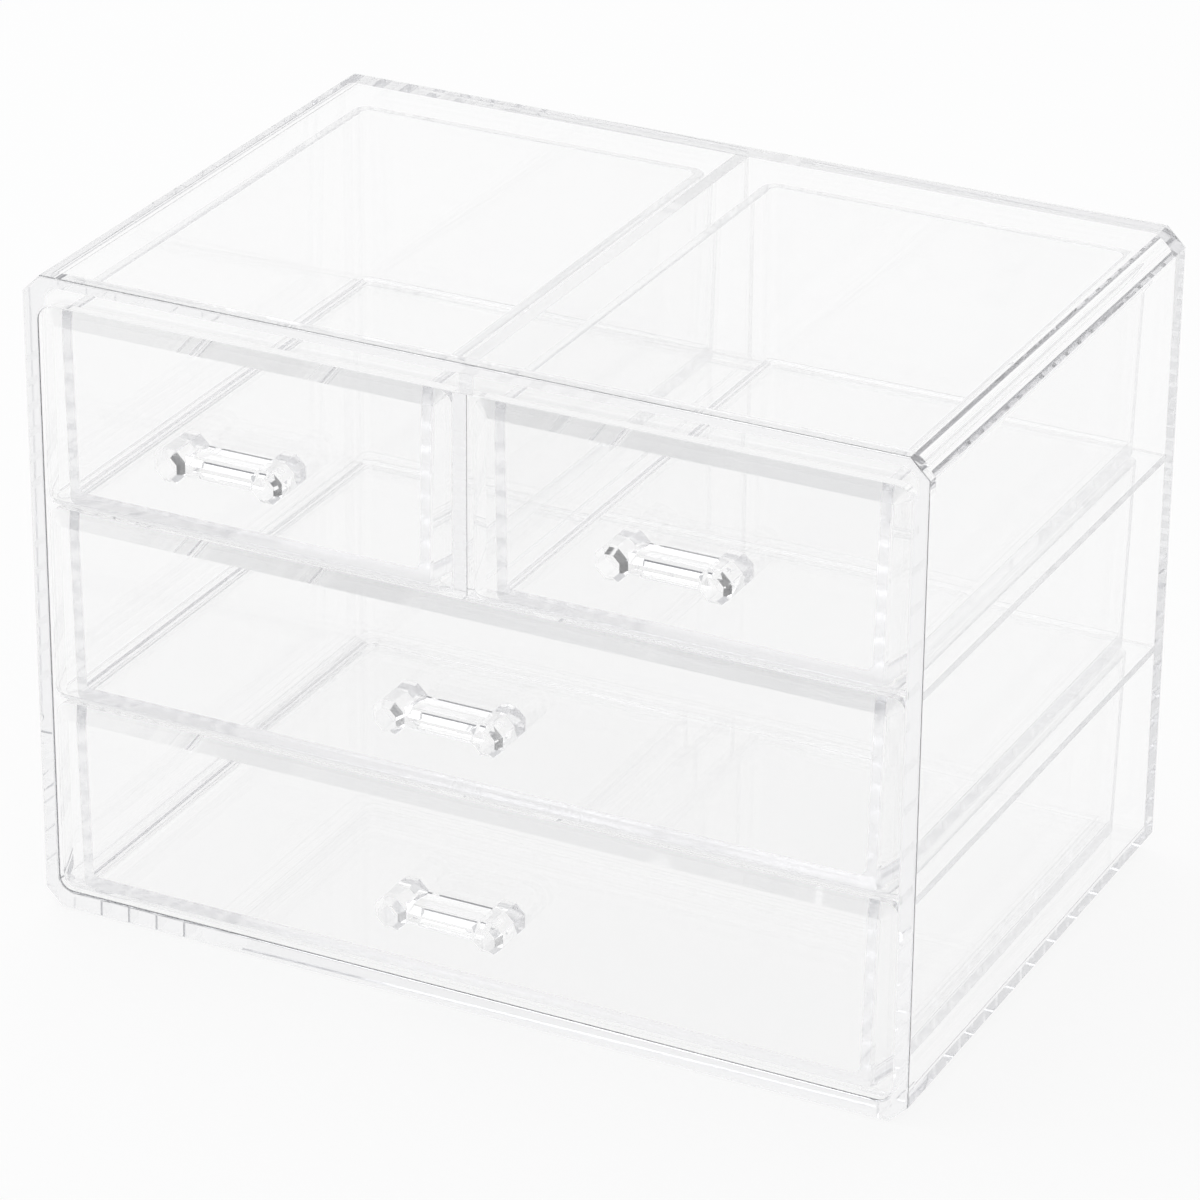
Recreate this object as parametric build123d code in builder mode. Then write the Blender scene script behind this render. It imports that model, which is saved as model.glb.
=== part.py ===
from build123d import *
import math
import os

# Clear stackable drawer organizer: a rectangular case with three rows of
# drawers, two small ones side by side on top and two wide ones below.
# Millimetres, +Z up, the drawer fronts face -Y. The origin is the middle of
# the flat face that the case stands on.

os.makedirs("parts", exist_ok=True)

# Case, outside
case_width = 240.0
case_depth = 158.0
case_height = 174.0
case_bevel_width = 5.0      # 45 degree bevel on the four front-to-back edges
side_wall = 4.3
back_wall = 4.0
top_panel = 4.2
floor_panel = 4.3
cavity_corner = 4.0         # rounding inside the case where two panels meet
front_lip = 5.3             # height of the sill below the bottom drawer
top_bar = 7.8               # height of the bar above the top drawers
frame_depth = 6.5           # how far the sill and the bar reach back
case_edge = 0.6             # softened edge round the front and back faces
bond_depth = 0.03           # how far a bonded piece is melted into the piece that it is bonded to

# Shelves and divider
shelf_thickness = 2.2
divider_thickness = 3.8
panel_edge = 0.3            # softened front edges of the shelves and the divider
runner_width = 9.0          # low runners on the case floor, under the tray sides

# Drawer fronts
rows = 3
front_thickness = 3.5
front_bevel_width = 4.2     # shallow bevel round each front
front_bevel_depth = 1.5
front_corner = 3.5
front_inner_corner = 0.4
side_clearance = 0.2        # front to case wall
end_clearance = 0.5         # lowest front to sill, highest front to bar
row_clearance = 1.0         # one front to the next
divider_clearance = 1.0     # small front to divider
shelf_lap = 1.0             # how far a front hangs below the face its tray runs on
stop_clearance = 0.2        # closed front to the shelf edge behind it

# Drawer trays
tray_inset = 5.3            # tray side to the side edge of its front
tray_wall = 2.8
tray_floor = 3.2
tray_draft = 1.0            # degrees, the walls lean outwards going up
tray_corner = 4.0
tray_inner_corner = 2.2
tray_foot_edge = 1.2        # rounding under the tray
tray_inner_edge = 1.6       # rounding inside, floor to wall
tray_rim_edge = 0.5
slide_clearance = 0.15      # tray underside to the level face that it slides on
rim_clearance = 0.4         # tray rim to the shelf above it
rear_clearance = 2.0        # tray rim to the back wall

# Handles
handle_reach = 13.0         # how far a handle stands out of its front
handle_rise = 24.1          # lower edge of a front to its handle's middle
post_across_flats = 8.6
post_spacing = 26.6
post_bevel = 1.5
bar_height = 5.8
bar_depth = 10.8
bar_setback = 0.6           # front face of the drawer to the handle's cross bar
bar_bevel = 1.8
handle_edge = 0.2           # softened edges between the handle's facets

# Places worked out from the sizes above
face_y = -case_depth / 2
rear_y = case_depth / 2 - back_wall
opening_low = front_lip
opening_high = case_height - top_bar
cavity_high = case_height - top_panel
half_inside = case_width / 2 - side_wall
front_height = (opening_high - opening_low - 2 * end_clearance
                - (rows - 1) * row_clearance) / rows
row_pitch = front_height + row_clearance
front_back_y = face_y + front_thickness
shelf_front_y = front_back_y + stop_clearance
tray_height = row_pitch - shelf_thickness - slide_clearance - rim_clearance


def front_low(row):
    # Lower edge of the fronts in a row, counted from the bottom
    return opening_low + end_clearance + row * row_pitch


def run_level(row):
    # The level face that a row's trays slide on
    return front_low(row) + shelf_lap


def facing_front(x, y, z):
    # A plane that faces the user, with its own y axis upright
    return Plane(origin=(x, y, z), x_dir=(1, 0, 0), z_dir=(0, -1, 0))


def save(piece, name):
    piece.label = name
    export_step(piece, "parts/" + name + ".step")


# Case shell: walls, floor, top and back moulded in one, open at the front

cavity_middle = (floor_panel + cavity_high) / 2
opening_middle = (opening_low + opening_high) / 2
runner_length = rear_y - shelf_front_y

with BuildPart() as case_shell:
    with BuildSketch(facing_front(0, case_depth / 2, case_height / 2)) as outline:
        Rectangle(case_width, case_height)
        chamfer(outline.vertices(), case_bevel_width)
    extrude(amount=case_depth)
    with BuildSketch(facing_front(0, rear_y, cavity_middle)):
        RectangleRounded(2 * half_inside, cavity_high - floor_panel, cavity_corner)
    extrude(amount=rear_y - face_y - frame_depth, mode=Mode.SUBTRACT)
    with BuildSketch(facing_front(0, face_y + frame_depth, opening_middle)):
        RectangleRounded(2 * half_inside, opening_high - opening_low, cavity_corner)
    extrude(amount=frame_depth, mode=Mode.SUBTRACT)
    front_rim = case_shell.faces().sort_by(Axis.Y)[0]
    back_face = case_shell.faces().sort_by(Axis.Y)[-1]
    fillet(front_rim.edges() + back_face.edges(), case_edge)
    with BuildSketch(Plane.XY.offset(floor_panel)):
        for side in (-1, 1):
            with Locations((side * (half_inside - runner_width / 2), (rear_y + shelf_front_y) / 2)):
                Rectangle(runner_width, runner_length)
    extrude(amount=run_level(0) - floor_panel)
save(case_shell.part, "case_shell")

# Shelves: thin level panels bonded between the side walls and the back wall

for row, name in ((1, "lower_shelf"), (2, "upper_shelf")):
    with BuildPart() as shelf:
        with BuildSketch(Plane.XY.offset(run_level(row) - shelf_thickness)):
            with Locations((0, (rear_y + bond_depth + shelf_front_y) / 2)):
                Rectangle(2 * (half_inside + bond_depth), rear_y + bond_depth - shelf_front_y)
        extrude(amount=shelf_thickness)
        front_edge = shelf.faces().sort_by(Axis.Y)[0]
        fillet(front_edge.edges().filter_by(Axis.X), panel_edge)
    save(shelf.part, name)

# Divider: upright panel between the two small drawers, notched under the bar

with BuildPart() as divider:
    with BuildSketch(Plane.YZ.offset(-divider_thickness / 2)):
        with BuildLine():
            Polyline(
                (face_y, run_level(2) - bond_depth),
                (rear_y + bond_depth, run_level(2) - bond_depth),
                (rear_y + bond_depth, cavity_high + bond_depth),
                (face_y + frame_depth - bond_depth, cavity_high + bond_depth),
                (face_y + frame_depth - bond_depth, opening_high + bond_depth),
                (face_y, opening_high + bond_depth),
                close=True,
            )
        make_face()
    extrude(amount=divider_thickness)
    front_edge = divider.faces().sort_by(Axis.Y)[0]
    fillet(front_edge.edges().filter_by(Axis.Z), panel_edge)
save(divider.part, "divider")


def make_front(name, x_middle, width, low):
    # Drawer front: a plate with a shallow bevel all round its face
    middle = low + front_height / 2
    shoulder_y = face_y + front_bevel_depth
    with BuildPart() as front:
        with BuildSketch(facing_front(x_middle, front_back_y, middle)):
            RectangleRounded(width, front_height, front_corner)
        extrude(amount=front_thickness - front_bevel_depth)
        with BuildSketch(facing_front(x_middle, shoulder_y, middle)):
            RectangleRounded(width, front_height, front_corner)
        with BuildSketch(facing_front(x_middle, face_y, middle)):
            RectangleRounded(width - 2 * front_bevel_width, front_height - 2 * front_bevel_width,
                             front_inner_corner)
        loft(ruled=True)
    save(front.part, name)


def make_tray(name, x_middle, front_width, base):
    # Drawer tray: floor, two sides and a rear wall, closed in front by the drawer front
    width = front_width - 2 * tray_inset
    lean = tray_height * math.tan(math.radians(tray_draft))
    spare = 4 * tray_corner
    rim_rear = rear_y - rear_clearance
    length = rim_rear - front_back_y + spare
    middle_y = rim_rear - length / 2
    floor_lean = (tray_height - tray_floor) * math.tan(math.radians(tray_draft))
    with BuildPart() as tray:
        with BuildSketch(Plane(origin=(x_middle, middle_y, base))):
            RectangleRounded(width - 2 * lean, length - 2 * lean, tray_corner)
        with BuildSketch(Plane(origin=(x_middle, middle_y, base + tray_height))):
            RectangleRounded(width, length, tray_corner)
        loft(ruled=True)
        fillet(tray.faces().sort_by(Axis.Z)[0].edges(), tray_foot_edge)
        with BuildSketch(Plane(origin=(x_middle, middle_y, base + tray_floor))):
            RectangleRounded(width - 2 * (tray_wall + floor_lean),
                             length - 2 * (tray_wall + floor_lean), tray_inner_corner)
        with BuildSketch(Plane(origin=(x_middle, middle_y, base + tray_height))):
            RectangleRounded(width - 2 * tray_wall, length - 2 * tray_wall, tray_inner_corner)
        loft(ruled=True, mode=Mode.SUBTRACT)
        inner_floor = tray.faces().filter_by(Plane.XY).sort_by(Axis.Z)[1]
        fillet(inner_floor.edges(), tray_inner_edge)
        rim = tray.faces().sort_by(Axis.Z)[-1]
        fillet(rim.edges(), tray_rim_edge)
        split(bisect_by=Plane.XZ.offset(bond_depth - front_back_y), keep=Keep.BOTTOM)
    save(tray.part, name)


def make_handle(name, x_middle, low):
    # Handle: two eight-sided posts and a bevelled bar between them, moulded in one
    level = low + handle_rise
    bar_middle_y = face_y - bar_setback - bar_depth / 2
    with BuildPart() as handle:
        with BuildSketch(facing_front(x_middle, face_y + bond_depth, level)):
            with GridLocations(post_spacing, 0, 2, 1):
                RegularPolygon(post_across_flats / 2, 8, major_radius=False, rotation=22.5)
        extrude(amount=handle_reach + bond_depth)
        chamfer(handle.faces().group_by(Axis.Y)[0].edges(), post_bevel)
        bonded_edges = handle.faces().group_by(Axis.Y)[-1].edges()
        fillet(handle.edges() - bonded_edges, handle_edge)
        with BuildSketch(Plane.YZ.offset(x_middle - post_spacing / 2)) as bar_section:
            with Locations((bar_middle_y, level)):
                Rectangle(bar_depth, bar_height)
            chamfer(bar_section.vertices(), bar_bevel)
            fillet(bar_section.vertices(), handle_edge)
        extrude(amount=post_spacing)
    save(handle.part, name)


# Drawers: each is a tray, a front and a handle bonded together

wide_front = 2 * (half_inside - side_clearance)
small_inner = divider_thickness / 2 + divider_clearance
small_front = half_inside - side_clearance - small_inner
small_middle = small_inner + small_front / 2

for name, row, x_middle, width in (
    ("bottom_drawer", 0, 0.0, wide_front),
    ("middle_drawer", 1, 0.0, wide_front),
    ("top_left_drawer", 2, -small_middle, small_front),
    ("top_right_drawer", 2, small_middle, small_front),
):
    make_front(name + "_front", x_middle, width, front_low(row))
    make_tray(name + "_tray", x_middle, width, run_level(row) + slide_clearance)
    make_handle(name + "_handle", x_middle, front_low(row))
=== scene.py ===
import bmesh
import bpy
import math
from mathutils import Matrix, Vector


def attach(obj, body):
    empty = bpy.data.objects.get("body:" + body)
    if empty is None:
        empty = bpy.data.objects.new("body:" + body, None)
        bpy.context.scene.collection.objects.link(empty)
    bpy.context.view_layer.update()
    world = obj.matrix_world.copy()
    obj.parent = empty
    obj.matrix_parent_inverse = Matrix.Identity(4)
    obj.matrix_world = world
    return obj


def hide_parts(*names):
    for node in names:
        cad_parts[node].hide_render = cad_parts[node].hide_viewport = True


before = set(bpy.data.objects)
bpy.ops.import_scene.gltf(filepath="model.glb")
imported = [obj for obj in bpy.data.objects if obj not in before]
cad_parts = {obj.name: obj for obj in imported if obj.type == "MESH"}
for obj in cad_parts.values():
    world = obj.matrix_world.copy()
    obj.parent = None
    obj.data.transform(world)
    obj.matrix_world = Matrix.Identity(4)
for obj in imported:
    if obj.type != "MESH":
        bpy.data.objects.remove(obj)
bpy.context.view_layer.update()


# The camera: the organizer is seen from its front right and a little above, as a shop picture shows it. A long
# lens keeps the upright edges close to parallel.

camera_place = Vector((0.5677, -1.1426, 0.6947))
camera_azimuth = math.radians(26.505)
camera_elevation = math.radians(25.767)
camera_roll = math.radians(0.464)
camera_sensor = 36
camera_lens = 168.65

back = Vector((math.sin(camera_azimuth) * math.cos(camera_elevation),
               -math.cos(camera_azimuth) * math.cos(camera_elevation),
               math.sin(camera_elevation)))
level = Vector((math.cos(camera_azimuth), math.sin(camera_azimuth), 0))
upright = back.cross(level)
right = level * math.cos(camera_roll) + upright * math.sin(camera_roll)
up = upright * math.cos(camera_roll) - level * math.sin(camera_roll)

lens = bpy.data.cameras.new("camera")
lens.sensor_width = camera_sensor
lens.lens = camera_lens
camera = bpy.data.objects.new("camera", lens)
camera.matrix_world = Matrix.Translation(camera_place) @ Matrix((right, up, back)).transposed().to_4x4()
bpy.context.scene.collection.objects.link(camera)
bpy.context.scene.camera = camera
bpy.context.scene.view_settings.view_transform = "Standard"

# A ray crosses a dozen clear walls, and one that enters through a bevel can run to and fro inside the walls for
# more than a hundred bounces before it gets out again. Cut short, it would leave a black edge.
clear_bounces = 240
diffuse_bounces = 3
indirect_clamp = 4          # holds down single bright dots

cycles = bpy.context.scene.cycles
cycles.max_bounces = clear_bounces
cycles.transmission_bounces = clear_bounces
cycles.glossy_bounces = clear_bounces
cycles.diffuse_bounces = diffuse_bounces
cycles.sample_clamp_indirect = indirect_clamp


# The studio: a white table top under a broad soft light, with white walls all round. Clear plastic only shows by
# what it bends and mirrors: a grey ceiling draws its bevels and edges, a dark gap in it blackens two facets of
# each handle post, and the grey camera stand in front draws thin lines along the bars.

floor_half = 3.0
floor_drop = 0.0002
floor_colour = "F4F4F4"
backdrop_colour = "FFFFFF"
straight_glow = 0.9         # share of plain backdrop white in the table top where it is seen straight
bent_glow = 0.925           # the same where it is seen through plastic or mirrored in it
ceiling_colour = "CACBCE"
ceiling_from = 0.55         # sine of the angle above the horizon at which the white walls end
ceiling_full = 0.66         # and at which the ceiling has its full colour
gap_colour = "12151C"
gap_direction = (0.45, 0.37, 0.81)
gap_edge_cosine = 0.91      # cosine of the angle from the gap's middle to its outer edge
gap_core_cosine = 0.96      # and to where it has its full colour
gap_sharp_bounces = 12
gap_lost_bounces = 22
gap_left_over = 0.0
stand_colour = "85868B"
stand_direction = (-0.35, -0.87, 0.35)
stand_edge_cosine = 0.90
stand_core_cosine = 0.95
stand_sharp_bounces = 6
stand_lost_bounces = 9
stand_left_over = 0.3
soft_box_side = 1.4
soft_box_watts = 9
soft_box_place = Vector((-0.4, 0.2, 1.5))
soft_box_target = Vector((0, 0, 0.05))


def hex_linear(text, alpha=1.0):
    # The linear colour of an sRGB hex value
    channels = [int(text[i:i + 2], 16) / 255 for i in (0, 2, 4)]
    return tuple(c / 12.92 if c <= 0.04045 else ((c + 0.055) / 1.055) ** 2.4 for c in channels) + (alpha,)


def add_node(tree, kind, settings=None, links=None):
    # One node, its settings by property or socket, and its links as {socket: output}
    node = tree.nodes.new(kind)
    for name, value in (settings or {}).items():
        if isinstance(name, str) and hasattr(node, name):
            setattr(node, name, value)
    for name, value in (settings or {}).items():
        if not (isinstance(name, str) and hasattr(node, name)):
            node.inputs[name].default_value = value
    for name, output in (links or {}).items():
        tree.links.new(output, node.inputs[name])
    return node


def blank_tree(owner):
    # The owner's empty node tree
    owner.use_nodes = True
    owner.node_tree.nodes.clear()
    return owner.node_tree


world = bpy.data.worlds.new("studio")
bpy.context.scene.world = world
sky = blank_tree(world)
sky_path = add_node(sky, "ShaderNodeLightPath")
direction = add_node(sky, "ShaderNodeTexCoord").outputs["Generated"]
height = add_node(sky, "ShaderNodeSeparateXYZ", links={0: direction}).outputs["Z"]
ceiling_share = add_node(sky, "ShaderNodeMapRange",
                         {"interpolation_type": "SMOOTHSTEP", "From Min": ceiling_from, "From Max": ceiling_full},
                         {"Value": height})

# A mix of two colours has its share in socket 0, the colours in sockets 6 and 7 and its result in output 2.
around = add_node(sky, "ShaderNodeMix",
                  {"data_type": "RGBA", 6: hex_linear(backdrop_colour), 7: hex_linear(ceiling_colour)},
                  {0: ceiling_share.outputs[0]}).outputs[2]

# The gap and most of the stand blur away in light that has gone to and fro in a wall many times.
for colour, toward, edge_cosine, core_cosine, sharp_bounces, lost_bounces, left_over in (
    (gap_colour, gap_direction, gap_edge_cosine, gap_core_cosine,
     gap_sharp_bounces, gap_lost_bounces, gap_left_over),
    (stand_colour, stand_direction, stand_edge_cosine, stand_core_cosine,
     stand_sharp_bounces, stand_lost_bounces, stand_left_over),
):
    nearness = add_node(sky, "ShaderNodeVectorMath", {"operation": "DOT_PRODUCT", 1: toward}, {0: direction})
    inside = add_node(sky, "ShaderNodeMapRange",
                      {"interpolation_type": "SMOOTHSTEP", "From Min": edge_cosine, "From Max": core_cosine},
                      {"Value": nearness.outputs["Value"]})
    sharp = add_node(sky, "ShaderNodeMapRange",
                     {"From Min": sharp_bounces, "From Max": lost_bounces, "To Min": 1.0, "To Max": left_over},
                     {"Value": sky_path.outputs["Ray Depth"]})
    share = add_node(sky, "ShaderNodeMath", {"operation": "MULTIPLY"}, {0: inside.outputs[0], 1: sharp.outputs[0]})
    around = add_node(sky, "ShaderNodeMix", {"data_type": "RGBA", 7: hex_linear(colour)},
                      {0: share.outputs[0], 6: around}).outputs[2]

seen_sky = add_node(sky, "ShaderNodeMix", {"data_type": "RGBA", 7: hex_linear(backdrop_colour)},
                    {0: sky_path.outputs["Is Camera Ray"], 6: around})
sky_light = add_node(sky, "ShaderNodeBackground", {"Strength": 1.0}, {"Color": seen_sky.outputs[2]})
add_node(sky, "ShaderNodeOutputWorld", links={"Surface": sky_light.outputs[0]})

floor_mesh = bpy.data.meshes.new("table_top")
floor_shape = bmesh.new()
bmesh.ops.create_grid(floor_shape, x_segments=1, y_segments=1, size=floor_half,
                      matrix=Matrix.Translation((0, 0, -floor_drop)))
floor_shape.to_mesh(floor_mesh)
floor_shape.free()
table_top = bpy.data.objects.new("table_top", floor_mesh)
bpy.context.scene.collection.objects.link(table_top)

white_board = bpy.data.materials.new("matt_white_board")
board = blank_tree(white_board)
board_paint = add_node(board, "ShaderNodeBsdfDiffuse", {"Color": hex_linear(floor_colour)})
board_glow = add_node(board, "ShaderNodeEmission", {"Color": hex_linear(backdrop_colour), "Strength": 1.0})
board_path = add_node(board, "ShaderNodeLightPath")
bent = add_node(board, "ShaderNodeMath", {"operation": "MAXIMUM"},
                {0: board_path.outputs["Is Transmission Ray"], 1: board_path.outputs["Is Glossy Ray"]})
bent_share = add_node(board, "ShaderNodeMath", {"operation": "MULTIPLY", 1: bent_glow}, {0: bent.outputs[0]})
straight_share = add_node(board, "ShaderNodeMath", {"operation": "MULTIPLY", 1: straight_glow},
                          {0: board_path.outputs["Is Camera Ray"]})
glow_share = add_node(board, "ShaderNodeMath", {"operation": "MAXIMUM"},
                      {0: bent_share.outputs[0], 1: straight_share.outputs[0]})
board_mix = add_node(board, "ShaderNodeMixShader",
                     links={0: glow_share.outputs[0], 1: board_paint.outputs[0], 2: board_glow.outputs[0]})
add_node(board, "ShaderNodeOutputMaterial", links={"Surface": board_mix.outputs[0]})
floor_mesh.materials.append(white_board)

soft_box = bpy.data.lights.new("soft_box", "AREA")
soft_box.shape = "RECTANGLE"
soft_box.size = soft_box_side
soft_box.size_y = soft_box_side
soft_box.energy = soft_box_watts
soft_box_holder = bpy.data.objects.new("soft_box", soft_box)
soft_box_holder.location = soft_box_place
soft_box_holder.rotation_euler = (soft_box_target - soft_box_holder.location).to_track_quat("-Z", "Y").to_euler()
bpy.context.scene.collection.objects.link(soft_box_holder)


# Case shell: an open-fronted box of clear polystyrene, moulded in one piece, with its walls polished by the mould.
# The melt sets with a faint waviness that bends straight lines a little. The plastic takes a little light from a
# long path, so that a wall looks clear face on and pale grey edge on.

case_ior = 1.59
case_colour = "FEFEFE"
body_colour = "F4F4F5"
body_density = 5.0          # with this colour, 100 mm of plastic take about 4.5 percent of the light
flow_spacing_mm = 28
flow_depth_mm = 0.004
flow_detail = 1.0
flow_roughness = 0.4
haze_spacing_mm = 9
haze_detail = 4.0
haze_roughness = 0.6
haze_from = 0.5             # pattern value at which the haze begins
haze_full = 0.8             # and at which it is full
case_haze = 0.03
merge_distance = 0.000002
flat_angle = math.radians(0.02)
case_sharp_angle = math.radians(30)
flat_face_weight = 100


def per_metre(spacing_mm):
    # The scale of a pattern that repeats about every spacing_mm
    return 1000 / spacing_mm


def clear_plastic(name, ior, colour, full_haze):
    # A polished clear plastic: flow waves in the surface, a haze that comes and goes, and a pale grey body
    material = bpy.data.materials.new(name)
    tree = blank_tree(material)
    place = add_node(tree, "ShaderNodeTexCoord").outputs["Object"]
    waves = add_node(tree, "ShaderNodeTexNoise",
                     {"Scale": per_metre(flow_spacing_mm), "Detail": flow_detail, "Roughness": flow_roughness},
                     {"Vector": place})
    waviness = add_node(tree, "ShaderNodeBump", {"Strength": 1.0, "Distance": flow_depth_mm / 1000},
                        {"Height": waves.outputs[0]})
    specks = add_node(tree, "ShaderNodeTexNoise",
                      {"Scale": per_metre(haze_spacing_mm), "Detail": haze_detail, "Roughness": haze_roughness},
                      {"Vector": place})
    haze = add_node(tree, "ShaderNodeMapRange",
                    {"From Min": haze_from, "From Max": haze_full, "To Min": 0.0, "To Max": full_haze},
                    {"Value": specks.outputs[0]})
    plastic = add_node(tree, "ShaderNodeBsdfPrincipled",
                       {"Base Color": hex_linear(colour), "IOR": ior, "Transmission Weight": 1.0},
                       {"Roughness": haze.outputs[0], "Normal": waviness.outputs[0]})
    inside = add_node(tree, "ShaderNodeVolumeAbsorption",
                      {"Color": hex_linear(body_colour), "Density": body_density})
    add_node(tree, "ShaderNodeOutputMaterial", links={"Surface": plastic.outputs[0], "Volume": inside.outputs[0]})
    return material, plastic


def finish_node(name, body, material, sharp_angle):
    # A CAD node shown as a copy with merged corners and smooth roundings, in its real finish
    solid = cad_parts[name]
    mesh = solid.data.copy()
    shape = bmesh.new()
    shape.from_mesh(mesh)
    bmesh.ops.remove_doubles(shape, verts=shape.verts[:], dist=merge_distance)
    bmesh.ops.dissolve_limit(shape, angle_limit=flat_angle, verts=shape.verts[:], edges=shape.edges[:])
    shape.normal_update()
    for face in shape.faces:
        face.smooth = True
    for edge in shape.edges:
        edge.smooth = edge.is_manifold and edge.calc_face_angle() < sharp_angle
    shape.to_mesh(mesh)
    shape.free()
    mesh.materials.clear()
    mesh.materials.append(material)
    piece = bpy.data.objects.new(name + "_finished", mesh)
    bpy.context.scene.collection.objects.link(piece)
    even = piece.modifiers.new("flat_faces_stay_flat", "WEIGHTED_NORMAL")
    even.mode = "FACE_AREA"
    even.weight = flat_face_weight
    even.keep_sharp = True
    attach(piece, body)
    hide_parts(name)


case_plastic, _ = clear_plastic("moulded_clear_polystyrene", case_ior, case_colour, case_haze)
finish_node("case_shell", "case", case_plastic, case_sharp_angle)


# Shelves: two thin panels of clear polystyrene, flat pressed and polished, slid in from the front and bonded with
# solvent to the side walls and the back. The solvent leaves the bonded ends rippled and cloudy.

bond_ripple_mm = 1.1
bond_ripple_detail = 2.0
bond_ripple_depth_mm = 0.012
bond_haze = 0.08
inner_side = 0.1157         # from the middle to the inside of a side wall
inner_rear = 0.075          # to the inside of the back wall
inner_top = 0.1698          # from the table top to the inside of the top panel


def beyond(tree, place, axis, limit, side):
    # 1 where the place is past a plane across one axis, on the far or the near side of it
    parts = add_node(tree, "ShaderNodeSeparateXYZ", links={0: place})
    operation = "GREATER_THAN" if side > 0 else "LESS_THAN"
    return add_node(tree, "ShaderNodeMath", {"operation": operation, 1: limit}, {0: parts.outputs[axis]}).outputs[0]


def bonded_plastic(name, planes):
    # The case's plastic, rippled and cloudy past the planes where the piece is bonded
    material, plastic = clear_plastic(name, case_ior, case_colour, case_haze)
    tree = material.node_tree
    polish = plastic.inputs["Roughness"].links[0].from_socket
    waviness = plastic.inputs["Normal"].links[0].from_socket
    place = add_node(tree, "ShaderNodeTexCoord").outputs["Object"]
    at_bond = beyond(tree, place, *planes[0])
    for plane in planes[1:]:
        at_bond = add_node(tree, "ShaderNodeMath", {"operation": "MAXIMUM"},
                           {0: at_bond, 1: beyond(tree, place, *plane)}).outputs[0]
    ripples = add_node(tree, "ShaderNodeTexNoise",
                       {"Scale": per_metre(bond_ripple_mm), "Detail": bond_ripple_detail}, {"Vector": place})
    rippled = add_node(tree, "ShaderNodeBump", {"Distance": bond_ripple_depth_mm / 1000},
                       {"Strength": at_bond, "Height": ripples.outputs[0], "Normal": waviness})
    cloudy = add_node(tree, "ShaderNodeMath", {"operation": "MULTIPLY_ADD", 1: bond_haze}, {0: at_bond, 2: polish})
    tree.links.new(cloudy.outputs[0], plastic.inputs["Roughness"])
    tree.links.new(rippled.outputs[0], plastic.inputs["Normal"])
    return material


panel_plastic = bonded_plastic("edge_bonded_polystyrene", (("X", inner_side, 1), ("X", -inner_side, -1),
                                                           ("Y", inner_rear, 1), ("Z", inner_top, 1)))
for name in ("lower_shelf", "upper_shelf"):
    finish_node(name, "case", panel_plastic, case_sharp_angle)


# Divider: an upright panel of clear polystyrene between the two small drawers, bonded to the shelf under it, the
# bar over it and the back wall.

finish_node("divider", "case", panel_plastic, case_sharp_angle)


# Drawer trays: four clear polystyrene boxes without a front, moulded with walls that lean out a little, and bonded
# to the drawer fronts. The solvent leaves fine ripples in the bonded edges.

drawers = ("bottom_drawer", "middle_drawer", "top_left_drawer", "top_right_drawer")
bond_line = -0.07551        # just in front of the back of the fronts, where the trays' bonded edges are

tray_plastic = bonded_plastic("moulded_bonded_polystyrene", (("Y", bond_line, -1),))
for drawer in drawers:
    finish_node(drawer + "_tray", drawer, tray_plastic, case_sharp_angle)


# Drawer fronts: four clear polystyrene plates with a shallow polished bevel all round, bonded to the open end of
# their trays.

front_haze = 0.02
front_sharp_angle = math.radians(14)

front_plastic, _ = clear_plastic("polished_clear_polystyrene", case_ior, case_colour, front_haze)
for drawer in drawers:
    finish_node(drawer + "_front", drawer, front_plastic, front_sharp_angle)


# Handles: clear acrylic, moulded in one piece as two eight-sided posts and a bevelled bar, with facets that sparkle
# like cut glass, bonded to the fronts.

acrylic_ior = 1.49
acrylic_colour = "FEFEFE"
handle_haze = 0.01
handle_sharp_angle = math.radians(5)

handle_plastic, _ = clear_plastic("faceted_clear_acrylic", acrylic_ior, acrylic_colour, handle_haze)
for drawer in drawers:
    finish_node(drawer + "_handle", drawer, handle_plastic, handle_sharp_angle)
